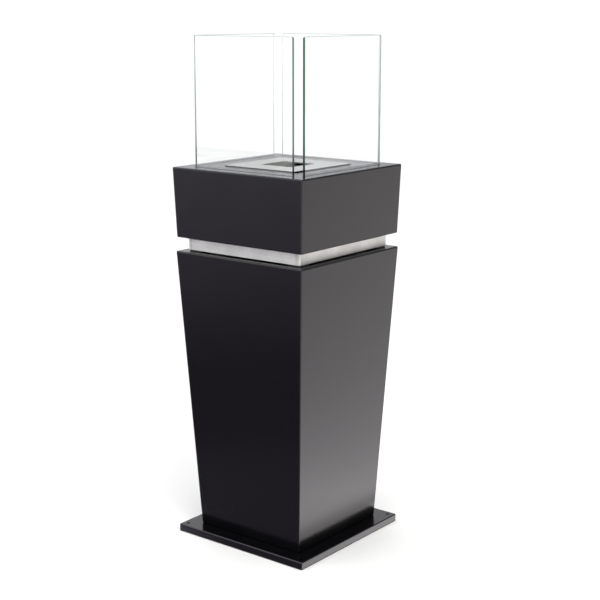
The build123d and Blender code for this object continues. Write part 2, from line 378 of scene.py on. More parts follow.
# %% Standing card at the front left
screen_glow = 0.14
screen_foot = Vector((-0.68, -0.86, 0))
screen_half = Vector((0.63, -0.5, 0))
screen_top = Vector((0, 0, 0.7))
screen_ends = (screen_foot - screen_half, screen_foot + screen_half)
screen_corners = [*screen_ends, screen_ends[1] + screen_top, screen_ends[0] + screen_top]


def steady_glow(tree, place):
    """The same glow all over the card."""
    return screen_glow


glow_card("standing_card", screen_corners, dusk, steady_glow, mirrors=2)

# %% [markdown]
# Shared effects
#
# Several finishes show the same thing at different strengths, so each effect is one node group.
# Sprayed paint has a faint orange peel and dust that settles on what faces up. Brushed steel has
# long fine scratches along one direction, and cloudy patches where hands and cloths have been.
# Painted shade lies below a level, sometimes more to one side, so a third group gives a mask of that.

# %% Helpers that start a node group and read a noise
noise_low = 0.3
noise_high = 0.7


def new_group(name, inputs, outputs):
    """A shader group with named float inputs and outputs."""
    group = bpy.data.node_groups.new(name, "ShaderNodeTree")
    for label, value in inputs.items():
        socket = group.interface.new_socket(label, in_out="INPUT", socket_type="NodeSocketFloat")
        socket.default_value = value
    for label in outputs:
        group.interface.new_socket(label, in_out="OUTPUT", socket_type="NodeSocketFloat")
    start = group.nodes.new("NodeGroupInput")
    end = group.nodes.new("NodeGroupOutput")
    return group, start.outputs, end.inputs


def noise(tree, vector, scale, detail):
    """A Noise texture read at a vector socket. The scale is a number or a socket."""
    node = tree.nodes.new("ShaderNodeTexNoise")
    node.inputs["Detail"].default_value = detail
    feed(tree, node.inputs["Vector"], vector)
    feed(tree, node.inputs["Scale"], scale)
    return node.outputs["Fac"]


# %% Paint skin: orange peel, uneven gloss and settled dust
gloss_scale = 14.0
speck_scale = 1500.0
speck_start = 0.62
speck_full = 0.74
skin_inputs = {"Peel Scale": 420.0, "Gloss Low": 0.25, "Gloss High": 0.32, "Dust": 0.3}
paint_skin, skin_in, skin_out = new_group("paint_skin", skin_inputs, ["Peel", "Roughness", "Dust"])
skin_place = object_place(paint_skin)
peel = noise(paint_skin, skin_place, skin_in["Peel Scale"], detail=2.0)
gloss = noise(paint_skin, skin_place, gloss_scale, detail=4.0)
gloss = map_range(paint_skin, gloss, noise_low, noise_high, skin_in["Gloss Low"], skin_in["Gloss High"])
skin_normal = paint_skin.nodes.new("ShaderNodeNewGeometry").outputs["Normal"]
facing_up = map_range(paint_skin, axes_of(paint_skin, skin_normal)["Z"], 0.5, 1.0, 0.0, 1.0)
specks = noise(paint_skin, skin_place, speck_scale, detail=1.0)
specks = map_range(paint_skin, specks, speck_start, speck_full, 0.0, 1.0)
dust = math_node(paint_skin, "MULTIPLY", specks, facing_up)
dust = math_node(paint_skin, "MULTIPLY", dust, skin_in["Dust"])
paint_skin.links.new(peel, skin_out["Peel"])
paint_skin.links.new(gloss, skin_out["Roughness"])
paint_skin.links.new(dust, skin_out["Dust"])
print("group", paint_skin.name)

# %% Brushed grain: fine scratches along one direction, with cloudy patches
cloud_scale = 22.0
grain_inputs = {
    "Across X": 1.0,
    "Across Y": 1.0,
    "Across Z": 1.0,
    "Rough Low": 0.25,
    "Rough High": 0.4,
}
grain_outputs = ["Grain", "Roughness", "Cloud"]
brushed_grain, grain_in, grain_out = new_group("brushed_grain", grain_inputs, grain_outputs)
grain_place = object_place(brushed_grain)
grain_scales = brushed_grain.nodes.new("ShaderNodeCombineXYZ")
for axis in "XYZ":
    brushed_grain.links.new(grain_in["Across " + axis], grain_scales.inputs[axis])
scratch_scales = grain_scales.outputs["Vector"]
stretched = vector_math(brushed_grain, "MULTIPLY", grain_place, scratch_scales)["Vector"]
scratches = noise(brushed_grain, stretched, 1.0, detail=3.0)
scratches = map_range(brushed_grain, scratches, 0.25, 0.75, 0.0, 1.0)
cloud = noise(brushed_grain, grain_place, cloud_scale, detail=3.0)
cloud = map_range(brushed_grain, cloud, 0.35, 0.65, 0.0, 1.0)
rough = map_range(brushed_grain, scratches, 0.0, 1.0, grain_in["Rough Low"], grain_in["Rough High"])
brushed_grain.links.new(scratches, grain_out["Grain"])
brushed_grain.links.new(rough, grain_out["Roughness"])
brushed_grain.links.new(cloud, grain_out["Cloud"])
print("group", brushed_grain.name)

# %% Level mask: what lies below a level, with a soft border, and its share towards the back right
level_inputs = {"Level": 0.0, "Border": 0.001, "Lean Start": -2.0, "Lean End": -1.0}
level_mask, level_in, level_out = new_group("level_mask", level_inputs, ["Below"])
level_axes = axes_of(level_mask, object_place(level_mask))
level_foot = math_node(level_mask, "SUBTRACT", level_in["Level"], level_in["Border"])
below = map_range(level_mask, level_axes["Z"], level_foot, level_in["Level"], 1.0, 0.0)
back_right = math_node(level_mask, "ADD", level_axes["X"], level_axes["Y"])
lean = map_range(level_mask, back_right, level_in["Lean Start"], level_in["Lean End"], 0.0, 1.0)
level_mask.links.new(math_node(level_mask, "MULTIPLY", below, lean), level_out["Below"])
print("group", level_mask.name)

# %% [markdown]
# Painted steel
#
# The base, the column and the housing are powder coated in a warm black with a satin sheen. The
# colour itself is almost nothing: what shows is the room, blurred by a roughness near 0.2. The base
# plate is a little glossier than the column. A very shallow bump breaks the reflections as sprayed
# paint does. Colours that change over the surface come from the groups, and plain numbers are set on
# the shader itself.


# %% Helpers that place a group, a bump and a blend
def place_group(tree, group, values):
    """Put a node group in a material and set its inputs."""
    node = tree.nodes.new("ShaderNodeGroup")
    node.node_tree = group
    for label, value in values.items():
        node.inputs[label].default_value = value
    return node.outputs


def add_bump(tree, shader, height, depth, strength):
    """Feed a height into the shader's normal through a bump of the given depth in metres."""
    bump = tree.nodes.new("ShaderNodeBump")
    bump.inputs["Distance"].default_value = depth
    bump.inputs["Strength"].default_value = strength
    tree.links.new(height, bump.inputs["Height"])
    tree.links.new(bump.outputs["Normal"], shader.inputs["Normal"])


def blend_colours(tree, mask, first, second):
    """A colour that goes from the first to the second as the mask goes from 0 to 1."""
    mix = tree.nodes.new("ShaderNodeMix")
    mix.data_type = "RGBA"
    tree.links.new(mask, mix.inputs["Factor"])
    for label, colour in (("A", first), ("B", second)):
        feed(tree, mix.inputs[label], (*colour, 1) if isinstance(colour, tuple) else colour)
    return mix.outputs["Result"]


# %% Helper for a sprayed coat
peel_depth = 0.00004


def painted(name, colour, dust_colour, skin, sheen, peel_strength):
    """Sprayed paint or moulded rubber of one colour, with its skin values."""
    material, tree, shader, _ = new_material(name)
    coat = place_group(tree, paint_skin, skin)
    dusty_colour = blend_colours(tree, coat["Dust"], colour, dust_colour)
    tree.links.new(dusty_colour, shader.inputs["Base Color"])
    tree.links.new(coat["Roughness"], shader.inputs["Roughness"])
    shader.inputs["Specular IOR Level"].default_value = sheen
    add_bump(tree, shader, coat["Peel"], peel_depth, peel_strength)
    return material


# %% Satin black paint and the dull primer inside
satin_skin = {"Peel Scale": 420.0, "Gloss Low": 0.2, "Gloss High": 0.24, "Dust": 0.05}
base_skin = {"Peel Scale": 420.0, "Gloss Low": 0.15, "Gloss High": 0.19, "Dust": 0.05}
primer_skin = {"Peel Scale": 900.0, "Gloss Low": 0.55, "Gloss High": 0.7, "Dust": 0.1}
warm_black = (0.0013, 0.0011, 0.0016)
grey_dust = (0.1, 0.095, 0.09)
primer_grey = (0.045, 0.046, 0.05)
primer_dust = (0.2, 0.2, 0.19)
black_coat = {"sheen": 0.5, "peel_strength": 0.08}
primer_coat = {"sheen": 0.4, "peel_strength": 0.25}
satin_black = painted("satin_black_paint", warm_black, grey_dust, satin_skin, **black_coat)
gloss_black = painted("gloss_black_paint", warm_black, grey_dust, base_skin, **black_coat)
dull_primer = painted("dull_primer", primer_grey, primer_dust, primer_skin, **primer_coat)
print("painted", satin_black.name, gloss_black.name, dull_primer.name)

# %% [markdown]
# Stainless and plated steel
#
# The neck band is brushed along its length, the burner plate and rim along one direction of the
# sheet. The scratches change the roughness and, very slightly, the colour and the height, and cloudy
# patches lie over them like smudges. Scratches that run round the band spread its reflections up and
# down, which the shader's anisotropy does, turned by a quarter because by itself it stretches them
# the other way. Painted shade darkens the plate's foot where it meets the deck, and the low back
# right of the burner's mouth, so both come from the level mask. The cup below stays clean. The screws
# and bolts are zinc plated, a cooler grey with a mottled gloss.

# %% Helpers for brushed sheet
cloud_share = 0.4
scratch_share = 0.6
scratch_depth = 0.00003
scratch_strength = 0.3


def grain_across(x, y, z, rough_low, rough_high):
    """How fine the scratches are along each axis, per metre, and the roughness they lie between."""
    return {
        "Across X": x,
        "Across Y": y,
        "Across Z": z,
        "Rough Low": rough_low,
        "Rough High": rough_high,
    }


def brushed_steel(name, grain_values, light, dark, painted_shade=None):
    """Sheet with its grain and, where it has one, a painted shade of some colour with its mask values.
    """
    material, tree, shader, _ = new_material(name)
    grain = place_group(tree, brushed_grain, grain_values)
    tone = math_node(tree, "MULTIPLY", grain["Cloud"], cloud_share)
    tone = math_node(tree, "MULTIPLY_ADD", grain["Grain"], scratch_share, tone)
    colour = blend_colours(tree, tone, dark, light)
    # A painted shade darkens the colour below a level.
    if painted_shade:
        painted_shade_colour, painted_shade_values = painted_shade
        painted_shade_mask = place_group(tree, level_mask, painted_shade_values)
        colour = blend_colours(tree, painted_shade_mask["Below"], colour, painted_shade_colour)
    tree.links.new(colour, shader.inputs["Base Color"])
    tree.links.new(grain["Roughness"], shader.inputs["Roughness"])
    shader.inputs["Metallic"].default_value = 1.0
    add_bump(tree, shader, grain["Grain"], scratch_depth, scratch_strength)
    return material


# %% Brushed band round the neck
band_grain = grain_across(6.0, 6.0, 1500.0, 0.36, 0.48)
band_steel = brushed_steel("band_steel", band_grain, light=(1.0, 1.0, 0.95), dark=(0.63, 0.63, 0.59))
band_shader = band_steel.node_tree.nodes["Principled BSDF"]
band_shader.inputs["Anisotropic"].default_value = 0.85
band_shader.inputs["Anisotropic Rotation"].default_value = 0.25
print("band", band_steel.name)

# %% Plate with painted shade at its foot, rim with painted shade at the back right, and clean cup
deck_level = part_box("upper_housing")[1].z
plate_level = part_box("burner_plate")[1].z
painted_shade_level = plate_level - 0.0003
# Painted shade at the foot of the plate, where it meets the deck.
plate_foot_shade_colour = (0.03, 0.03, 0.029)
plate_foot_shade_mask = {"Level": painted_shade_level, "Border": 0.0005}
# Painted shade low in the burner's mouth, more towards the back right.
rim_shade_colour = (0.006, 0.0055, 0.005)
rim_shade_mask = {"Level": painted_shade_level, "Border": 0.003, "Lean Start": 0.01, "Lean End": 0.03}
plate_grain = grain_across(8.0, 1400.0, 1400.0, 0.26, 0.4)
plate_tones = {"light": (0.55, 0.55, 0.53), "dark": (0.43, 0.43, 0.415)}
rim_tones = {"light": (0.56, 0.56, 0.54), "dark": (0.44, 0.44, 0.425)}
cup_tones = {"light": (0.56, 0.56, 0.54), "dark": (0.42, 0.42, 0.405)}
plate_foot_shade = (plate_foot_shade_colour, plate_foot_shade_mask)
rim_shade = (rim_shade_colour, rim_shade_mask)
plate_steel = brushed_steel("plate_steel", plate_grain, **plate_tones, painted_shade=plate_foot_shade)
rim_steel = brushed_steel("rim_steel", plate_grain, **rim_tones, painted_shade=rim_shade)
cup_steel = brushed_steel("cup_steel", plate_grain, **cup_tones)
print("burner", plate_steel.name, rim_steel.name, cup_steel.name)

# %% Mill finish for screen and well, and zinc plating for the fasteners
mill_grain = grain_across(60.0, 300.0, 60.0, 0.35, 0.5)
zinc_grain = grain_across(700.0, 700.0, 900.0, 0.25, 0.5)
screen_tones = {"light": (0.3, 0.29, 0.28), "dark": (0.16, 0.15, 0.145)}
mill_tones = {"light": (0.6, 0.6, 0.59), "dark": (0.45, 0.45, 0.44)}
zinc_tones = {"light": (0.64, 0.66, 0.7), "dark": (0.48, 0.5, 0.54)}
screen_steel = brushed_steel("screen_steel", mill_grain, **screen_tones)
mill_steel = brushed_steel("mill_steel", mill_grain, **mill_tones)
zinc_plate = brushed_steel("zinc_plate", zinc_grain, **zinc_tones)
print("mill and plated", screen_steel.name, mill_steel.name, zinc_plate.name)

# %% [markdown]
# Glass
#
# Window glass is clear through its thickness and green along its length, because the iron in it
# takes out a little red over each centimetre. The broad faces are a clear glass with a slight
# absorption. The ground edges gather the light that has run the length of the pane, which takes far
# too many bounces to trace, so that light and shade are painted into their colour. It is a satin
# green, painted greyer on edges that face sideways, and painted paler towards the backdrop and with
# height. At the left corner it goes from painted shade at the deck to pale on top, and at the front
# right its foot has painted shade, near the black deck. Seen from inside the pane, an edge is mostly
# a mirror, as clear glass is. Shadow rays pass straight through, so the panes don't darken the deck.

# %% Clear glass
glass_index = 1.52
haze_scale = 30.0
haze_most = 0.02
iron_green = (0.3, 0.72, 0.52, 1)
iron_density = 3.0


def clear_glass_shader(tree, shader):
    """Make a Principled shader a clear glass with a faint haze on its faces."""
    shader.inputs["Base Color"].default_value = (1.0, 1.0, 1.0, 1)
    shader.inputs["Transmission Weight"].default_value = 1.0
    shader.inputs["IOR"].default_value = glass_index
    haze = noise(tree, object_place(tree), haze_scale, detail=4.0)
    tree.links.new(map_range(tree, haze, 0.4, 0.8, 0.0, haze_most), shader.inputs["Roughness"])


def finish_glass(tree, output, surface):
    """Let shadow rays pass a glass surface, and fill it with the faint green of iron."""
    shadow_ray = tree.nodes.new("ShaderNodeLightPath").outputs["Is Shadow Ray"]
    clear_pass = tree.nodes.new("ShaderNodeBsdfTransparent").outputs["BSDF"]
    tree.links.new(mix_shaders(tree, shadow_ray, surface, clear_pass), output.inputs["Surface"])
    iron = tree.nodes.new("ShaderNodeVolumeAbsorption")
    iron.inputs["Color"].default_value = iron_green
    iron.inputs["Density"].default_value = iron_density
    tree.links.new(iron.outputs["Volume"], output.inputs["Volume"])


glass, glass_tree, glass_shader, glass_output = new_material("clear_glass")
clear_glass_shader(glass_tree, glass_shader)
finish_glass(glass_tree, glass_output, glass_shader.outputs["BSDF"])
print("glass", glass.name)

# %% Ground edges: where they are and which way they face
glass_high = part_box("glass_panel_front")[1]
backdrop_side = (-sqrt(0.5), sqrt(0.5), 0.0)
left_start = -glass_high.x
left_full = -2 * glass_high.x
ground_edge, edge_tree, edge_shader, edge_output = new_material("ground_edge")
edge_place = object_place(edge_tree)
edge_axes = axes_of(edge_tree, edge_place)
edge_geometry = edge_tree.nodes.new("ShaderNodeNewGeometry").outputs
edge_facing = axes_of(edge_tree, edge_geometry["Normal"])
sideways = math_node(edge_tree, "ABSOLUTE", edge_facing["X"])
on_top = map_range(edge_tree, edge_facing["Z"], 0.3, 0.6, 0.0, 1.0)
backward = vector_math(edge_tree, "DOT_PRODUCT", edge_place, backdrop_side)["Value"]
far = map_range(edge_tree, backward, -glass_high.x, glass_high.x, 0.0, 1.0)
climb = map_range(edge_tree, edge_axes["Z"], deck_level, glass_high.z, 0.0, 1.0)
leftward = math_node(edge_tree, "ADD", edge_axes["X"], edge_axes["Y"])
left_corner = map_range(edge_tree, leftward, left_full, left_start, 1.0, 0.0)
print("edges run from", round(deck_level, 3), "to", round(glass_high.z, 3), "m")

# %% Ground edges: colour, with painted light and shade
# Painted light and shade: the edge colours stand for light carried along the pane and the dark deck.
front_green, side_grey = (0.002, 0.07, 0.02), (0.13, 0.18, 0.155)
far_foot, far_top = (0.5, 0.57, 0.535), (1.0, 1.0, 1.0)
left_foot, left_top = (0.01, 0.012, 0.011), (0.88, 0.94, 0.905)
top_green = (0.3, 0.34, 0.32)
foot_dark = (0.001, 0.002, 0.0015)
foot_reach = 0.06
foot_border = 0.054
foot_mask = {"Level": deck_level + foot_reach, "Border": foot_border}
near_colour = blend_colours(edge_tree, sideways, front_green, side_grey)
far_colour = blend_colours(edge_tree, climb, far_foot, far_top)
left_colour = blend_colours(edge_tree, climb, left_foot, left_top)
edge_colour = blend_colours(edge_tree, far, near_colour, far_colour)
edge_colour = blend_colours(edge_tree, left_corner, edge_colour, left_colour)
edge_colour = blend_colours(edge_tree, on_top, edge_colour, top_green)
edge_foot = place_group(edge_tree, level_mask, foot_mask)
near_share = map_range(edge_tree, far, 0.1, 0.45, 1.0, 0.1)
foot_shade = math_node(edge_tree, "MULTIPLY", edge_foot["Below"], near_share)
edge_colour = blend_colours(edge_tree, foot_shade, edge_colour, foot_dark)
edge_tree.links.new(edge_colour, edge_shader.inputs["Base Color"])
print("edge colour from", front_green, "to", far_top)

# %% Ground edges: satin outside, a mirror inside
grind_scale = 900.0
grind_depth = 0.00003
grind_strength = 0.3
grind = noise(edge_tree, edge_place, grind_scale, detail=3.0)
edge_rough = map_range(edge_tree, grind, noise_low, noise_high, 0.35, 0.5)
edge_tree.links.new(edge_rough, edge_shader.inputs["Roughness"])
edge_shader.inputs["Specular IOR Level"].default_value = 0.3
add_bump(edge_tree, edge_shader, grind, grind_depth, grind_strength)
inner_face = edge_tree.nodes.new("ShaderNodeBsdfPrincipled")
clear_glass_shader(edge_tree, inner_face)
inner_share = map_range(edge_tree, far, 0.5, 1.0, 0.75, 0.35)
inside = math_node(edge_tree, "MULTIPLY", edge_geometry["Backfacing"], inner_share)
edge_surface = mix_shaders(edge_tree, inside, edge_shader.outputs["BSDF"], inner_face.outputs["BSDF"])
finish_glass(edge_tree, edge_output, edge_surface)
print("edges", ground_edge.name)

# %% [markdown]
# Rubber and wool
#
# The strips that hold the panes are matt rubber, which takes the same skin as paint with a rougher
# gloss and more dust. The wool is a pale felt of fibres. Its fibres are too fine to model one by
# one, so a noise gives the felt its tone and its bump, and only a few loose ones are made later.

# %% Matt rubber
rubber_skin = {"Peel Scale": 1800.0, "Gloss Low": 0.62, "Gloss High": 0.8, "Dust": 0.4}
rubber_black = (0.012, 0.012, 0.012)
rubber_dust = (0.12, 0.12, 0.11)
rubber_coat = {"sheen": 0.35, "peel_strength": 0.25}
strip_rubber = painted("strip_rubber", rubber_black, rubber_dust, rubber_skin, **rubber_coat)
print("rubber", strip_rubber.name)

# %% Ceramic wool
felt_scale = 500.0
felt_depth = 0.0008
felt_strength = 0.8
felt_shade = (0.62, 0.59, 0.53)
felt_pale = (0.87, 0.85, 0.8)
wool_felt, wool_tree, wool_shader, _ = new_material("wool_felt")
felt = noise(wool_tree, object_place(wool_tree), felt_scale, detail=5.0)
felt_tone = map_range(wool_tree, felt, noise_low, noise_high, 0.0, 1.0)
wool_colour = blend_colours(wool_tree, felt_tone, felt_shade, felt_pale)
wool_tree.links.new(wool_colour, wool_shader.inputs["Base Color"])
wool_shader.inputs["Roughness"].default_value = 1.0
wool_shader.inputs["Specular IOR Level"].default_value = 0.1
add_bump(wool_tree, wool_shader, felt, felt_depth, felt_strength)
print("wool", wool_felt.name)

# %% [markdown]
# Smooth folds
#
# The frame's meshes are loose flat triangles, so a bend shows as a row of facets. A copy with its
# corners merged can be shaded smooth. Edges sharper than a bend are marked crisp while the copy is
# merged, and weighted normals keep the broad faces flat while the bend takes the whole turn. Each
# copy stands for its node.

# %% Helpers for a smooth copy
crisp_angle = radians(32)
weld_distance = 1e-6
flat_weight = 100


def plain_piece(source, name):
    """Turn an object with modifiers into a plain mesh object, and remove the source."""
    bpy.context.view_layer.update()
    ready = source.evaluated_get(bpy.context.evaluated_depsgraph_get())
    mesh = bpy.data.meshes.new_from_object(ready)
    mesh.name = name
    piece = bpy.data.objects.new(name, mesh)
    scene.collection.objects.link(piece)
    bpy.data.objects.remove(source)
    return piece


def hand_over(piece, body, node=None):
    """Ride a finished piece on its body, and hide the node it stands for, if there is one."""
    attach(piece, body)
    if node:
        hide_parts(node)
    print(piece.name, len(piece.data.polygons), "faces on", body)


def smooth_copy(node, body, material):
    """A merged, smooth-shaded copy of a CAD node that stands for it."""
    mesh = bpy.data.meshes.new(node + "_rough")
    shape = bmesh.new()
    shape.from_mesh(nodes[node].data)
    bmesh.ops.remove_doubles(shape, verts=shape.verts, dist=weld_distance)
    for face in shape.faces:
        face.smooth = True
    for edge in shape.edges:
        edge.smooth = edge.calc_face_angle(0) < crisp_angle
    shape.to_mesh(mesh)
    shape.free()
    mesh.materials.clear()
    mesh.materials.append(material)
    rough_piece = bpy.data.objects.new(node + "_rough", mesh)
    scene.collection.objects.link(rough_piece)
    weighted = rough_piece.modifiers.new("flat_faces", "WEIGHTED_NORMAL")
    weighted.keep_sharp = True
    weighted.weight = flat_weight
    piece = plain_piece(rough_piece, node + "_finish")
    hand_over(piece, body, node)
    return piece


# %% Smooth copies of the folded sheet
smooth_copy("base_plate", "pedestal", gloss_black)
smooth_copy("column_shell", "pedestal", satin_black)
smooth_copy("upper_housing", "pedestal", satin_black)
smooth_copy("neck_band", "pedestal", band_steel)
smooth_copy("burner_well", "pedestal", mill_steel)
smooth_copy("burner_plate", "plate", plate_steel)
smooth_copy("burner_cup", "burner", cup_steel)
smooth_copy("burner_rim", "burner", rim_steel)
smooth_copy("wool_screen", "burner", screen_steel)

# %% Panes with clear broad faces and ground edges
pane_axes = {"front": 1, "back": 1, "left": 0, "right": 0}
broad_facing = 0.99
for side, axis in pane_axes.items():
    pane = smooth_copy(f"glass_panel_{side}", f"glass_{side}", glass)
    pane.data.materials.append(ground_edge)
    for face in pane.data.polygons:
        if abs(face.normal[axis]) < broad_facing:
            face.material_index = 1

# %% [markdown]
# Fasteners
#
# Countersunk screws come up through the base, hexagon bolts clamp the neck, and weld nuts take
# them. Each set is four of the same thing on a square, which is what Geometry Nodes are for: a grid
# of two by two points, one fastener instanced on each, and sizes as named inputs. Threads are a
# diamond swept along a helix, and the drive and the chamfers are cut by booleans.


# %% Helpers that start a Geometry Nodes tree and add to it
def new_tree(name, sizes):
    """A Geometry Nodes tree with an input for each named size, a finish and one geometry output."""
    tree = bpy.data.node_groups.new(name, "GeometryNodeTree")
    tree.is_modifier = True
    for label, value in sizes.items():
        kind = "NodeSocketInt" if isinstance(value, int) else "NodeSocketFloat"
        tree.interface.new_socket(label, in_out="INPUT", socket_type=kind)
    tree.interface.new_socket("Finish", in_out="INPUT", socket_type="NodeSocketMaterial")
    tree.interface.new_socket("Geometry", in_out="OUTPUT", socket_type="NodeSocketGeometry")
    return tree, tree.nodes.new("NodeGroupInput").outputs


def grow(tree, kind, values, **settings):
    """A node with its settings, and its inputs fed by label. Gives its first output."""
    node = tree.nodes.new(kind)
    for label, setting in settings.items():
        setattr(node, label, setting)
    for label, value in values.items():
        feed(tree, node.inputs[label], value)
    return node.outputs[0]


# %% Helpers that move, join and cut shapes in a tree
def upright(tree, height):
    """A vector that points up by a height socket or number."""
    return grow(tree, "ShaderNodeCombineXYZ", {"Z": height})


def raised(tree, shape, height):
    """A shape moved up by a height socket or number."""
    values = {"Geometry": shape, "Translation": upright(tree, height)}
    return grow(tree, "GeometryNodeTransform", values)


def joined(tree, *shapes):
    """Several shapes as one."""
    node = tree.nodes.new("GeometryNodeJoinGeometry")
    for shape in shapes:
        tree.links.new(shape, node.inputs["Geometry"])
    return node.outputs["Geometry"]


def cut(tree, shape, tool):
    """A shape with a tool taken out of it."""
    values = {"Mesh 1": shape, "Mesh 2": tool}
    return grow(tree, "GeometryNodeMeshBoolean", values, operation="DIFFERENCE", solver="EXACT")


def shared(tree, shape, tool):
    """What a shape and a tool have in common."""
    node = tree.nodes.new("GeometryNodeMeshBoolean")
    node.operation = "INTERSECT"
    node.solver = "EXACT"
    for body in (shape, tool):
        tree.links.new(body, node.inputs["Mesh 2"])
    return node.outputs["Mesh"]


# %% Helpers that end a tree and make its piece
def end_tree(tree, instances, finish):
    """Realize the instances, give them the finish and send them out."""
    mesh = grow(tree, "GeometryNodeRealizeInstances", {"Geometry": instances})
    mesh = grow(tree, "GeometryNodeSetMaterial", {"Geometry": mesh, "Material": finish})
    tree.links.new(mesh, tree.nodes.new("NodeGroupOutput").inputs["Geometry"])


def grown_piece(name, tree, sizes, material):
    """The plain mesh that a tree makes with these sizes."""
    seed = bpy.data.objects.new(name + "_seed", bpy.data.meshes.new(name + "_seed"))
    scene.collection.objects.link(seed)
    modifier = seed.modifiers.new("grown", "NODES")
    modifier.node_group = tree
    values = {**sizes, "Finish": material}
    for item in tree.interface.items_tree:
        if item.in_out == "INPUT":
            modifier[item.identifier] = values[item.name]
    piece = plain_piece(seed, name)
    piece.data.shade_smooth()
    piece.data.set_sharp_from_angle(angle=crisp_angle)
    return piece


# %% Places and plain shapes that the fasteners share
def span(node):
    """The smaller of a node's two widths."""
    low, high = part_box(node)
    return min(high.x - low.x, high.y - low.y)


def half(tree, length):
    """Half of a length socket."""
    return math_node(tree, "MULTIPLY", length, 0.5)


def set_of_four(tree, inputs, fastener):
    """One fastener on each point of a square."""
    spacing = inputs["Spacing"]
    square = {"Size X": spacing, "Size Y": spacing, "Vertices X": 2, "Vertices Y": 2}
    points = grow(tree, "GeometryNodeMeshGrid", square)
    return grow(tree, "GeometryNodeInstanceOnPoints", {"Points": points, "Instance": fastener})


def pillar(tree, sides, radius, height):
    """A prism or cylinder that stands on the ground."""
    values = {"Vertices": sides, "Radius": radius, "Depth": height}
    shape = grow(tree, "GeometryNodeMeshCylinder", values)
    return raised(tree, shape, half(tree, height))


# %% Threaded shank
round_sides = 32
ridge_sides = 4
thread_steps = 16
thread_depth = 0.55


def threaded(tree, inputs, length):
    """A core with a helical thread round it, standing on the ground."""
    depth = math_node(tree, "MULTIPLY", inputs["Pitch"], thread_depth)
    core_radius = math_node(tree, "SUBTRACT", half(tree, inputs["Diameter"]), depth)
    turns = math_node(tree, "DIVIDE", length, inputs["Pitch"])
    turns = math_node(tree, "SUBTRACT", turns, 1.0)
    helix_values = {
        "Resolution": thread_steps,
        "Rotations": turns,
        "Start Radius": core_radius,
        "End Radius": core_radius,
        "Height": math_node(tree, "MULTIPLY", turns, inputs["Pitch"]),
    }
    helix = grow(tree, "GeometryNodeCurveSpiral", helix_values)
    ridge_values = {"Resolution": ridge_sides, "Radius": depth}
    ridge = grow(tree, "GeometryNodeCurvePrimitiveCircle", ridge_values)
    thread_values = {"Curve": helix, "Profile Curve": ridge, "Fill Caps": True}
    thread = grow(tree, "GeometryNodeCurveToMesh", thread_values)
    thread = raised(tree, thread, half(tree, inputs["Pitch"]))
    return joined(tree, pillar(tree, round_sides, core_radius, length), thread)


# %% Chamfered hexagon for heads and nuts
hexagon_sides = 6
flats_to_radius = sqrt(3)
chamfer_slope = sqrt(3)


def chamfered_hexagon(tree, inputs):
    """A hexagon prism whose upper corners are turned off by a cone."""
    flat_radius = half(tree, inputs["Width"])
    corner_radius = math_node(tree, "DIVIDE", inputs["Width"], flats_to_radius)
    prism = pillar(tree, hexagon_sides, corner_radius, inputs["Height"])
    cone_values = {
        "Vertices": round_sides,
        "Radius Top": flat_radius,
        "Radius Bottom": math_node(tree, "MULTIPLY_ADD", inputs["Height"], chamfer_slope, flat_radius),
        "Depth": inputs["Height"],
    }
    return shared(tree, prism, grow(tree, "GeometryNodeMeshCone", cone_values))


# %% Countersunk screws through the base
screw_head_diameter = 0.012
screw_sizes = {
    "Spacing": span("base_screws") - screw_head_diameter,
    "Head Diameter": screw_head_diameter,
    "Diameter": 0.006,
    "Length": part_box("base_screws")[1].z,
    "Pitch": 0.001,
    "Socket Width": 0.004,
    "Socket Depth": 0.0024,
}
screw_tree, screw_in = new_tree("countersunk_screws", screw_sizes)
head_radius = half(screw_tree, screw_in["Head Diameter"])
neck_radius = half(screw_tree, screw_in["Diameter"])
head_height = math_node(screw_tree, "SUBTRACT", head_radius, neck_radius)
head_values = {
    "Vertices": round_sides,
    "Radius Top": neck_radius,
    "Radius Bottom": head_radius,
    "Depth": head_height,
}
screw_head = grow(screw_tree, "GeometryNodeMeshCone", head_values)
socket_radius = math_node(screw_tree, "DIVIDE", screw_in["Socket Width"], flats_to_radius)
socket_height = math_node(screw_tree, "MULTIPLY", screw_in["Socket Depth"], 2.0)
socket_values = {"Vertices": hexagon_sides, "Radius": socket_radius, "Depth": socket_height}
socket_tool = grow(screw_tree, "GeometryNodeMeshCylinder", socket_values)
screw_head = cut(screw_tree, screw_head, socket_tool)
shank_length = math_node(screw_tree, "SUBTRACT", screw_in["Length"], head_height)
shank = raised(screw_tree, threaded(screw_tree, screw_in, shank_length), head_height)
screw = joined(screw_tree, screw_head, shank)
end_tree(screw_tree, set_of_four(screw_tree, screw_in, screw), screw_in["Finish"])
screws = grown_piece("base_screws_finish", screw_tree, screw_sizes, zinc_plate)
hand_over(screws, "pedestal", "base_screws")

# %% Hexagon bolts in the neck
bolt_width = 0.013
bolt_low, bolt_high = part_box("neck_bolts")
bolt_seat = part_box("neck_washers")[1].z
bolt_sizes = {
    "Spacing": span("neck_bolts") - bolt_width,
    "Seat": bolt_seat,
    "Width": bolt_width,
    "Height": bolt_high.z - bolt_seat,
    "Diameter": 0.008,
    "Length": bolt_seat - bolt_low.z,
    "Pitch": 0.00125,
}
bolt_tree, bolt_in = new_tree("hexagon_bolts", bolt_sizes)
bolt_shank = threaded(bolt_tree, bolt_in, bolt_in["Length"])
shank_drop = math_node(bolt_tree, "MULTIPLY", bolt_in["Length"], -1.0)
bolt_shank = raised(bolt_tree, bolt_shank, shank_drop)
bolt = joined(bolt_tree, chamfered_hexagon(bolt_tree, bolt_in), bolt_shank)
bolt = raised(bolt_tree, bolt, bolt_in["Seat"])
end_tree(bolt_tree, set_of_four(bolt_tree, bolt_in, bolt), bolt_in["Finish"])
bolts = grown_piece("neck_bolts_finish", bolt_tree, bolt_sizes, zinc_plate)
hand_over(bolts, "pedestal", "neck_bolts")

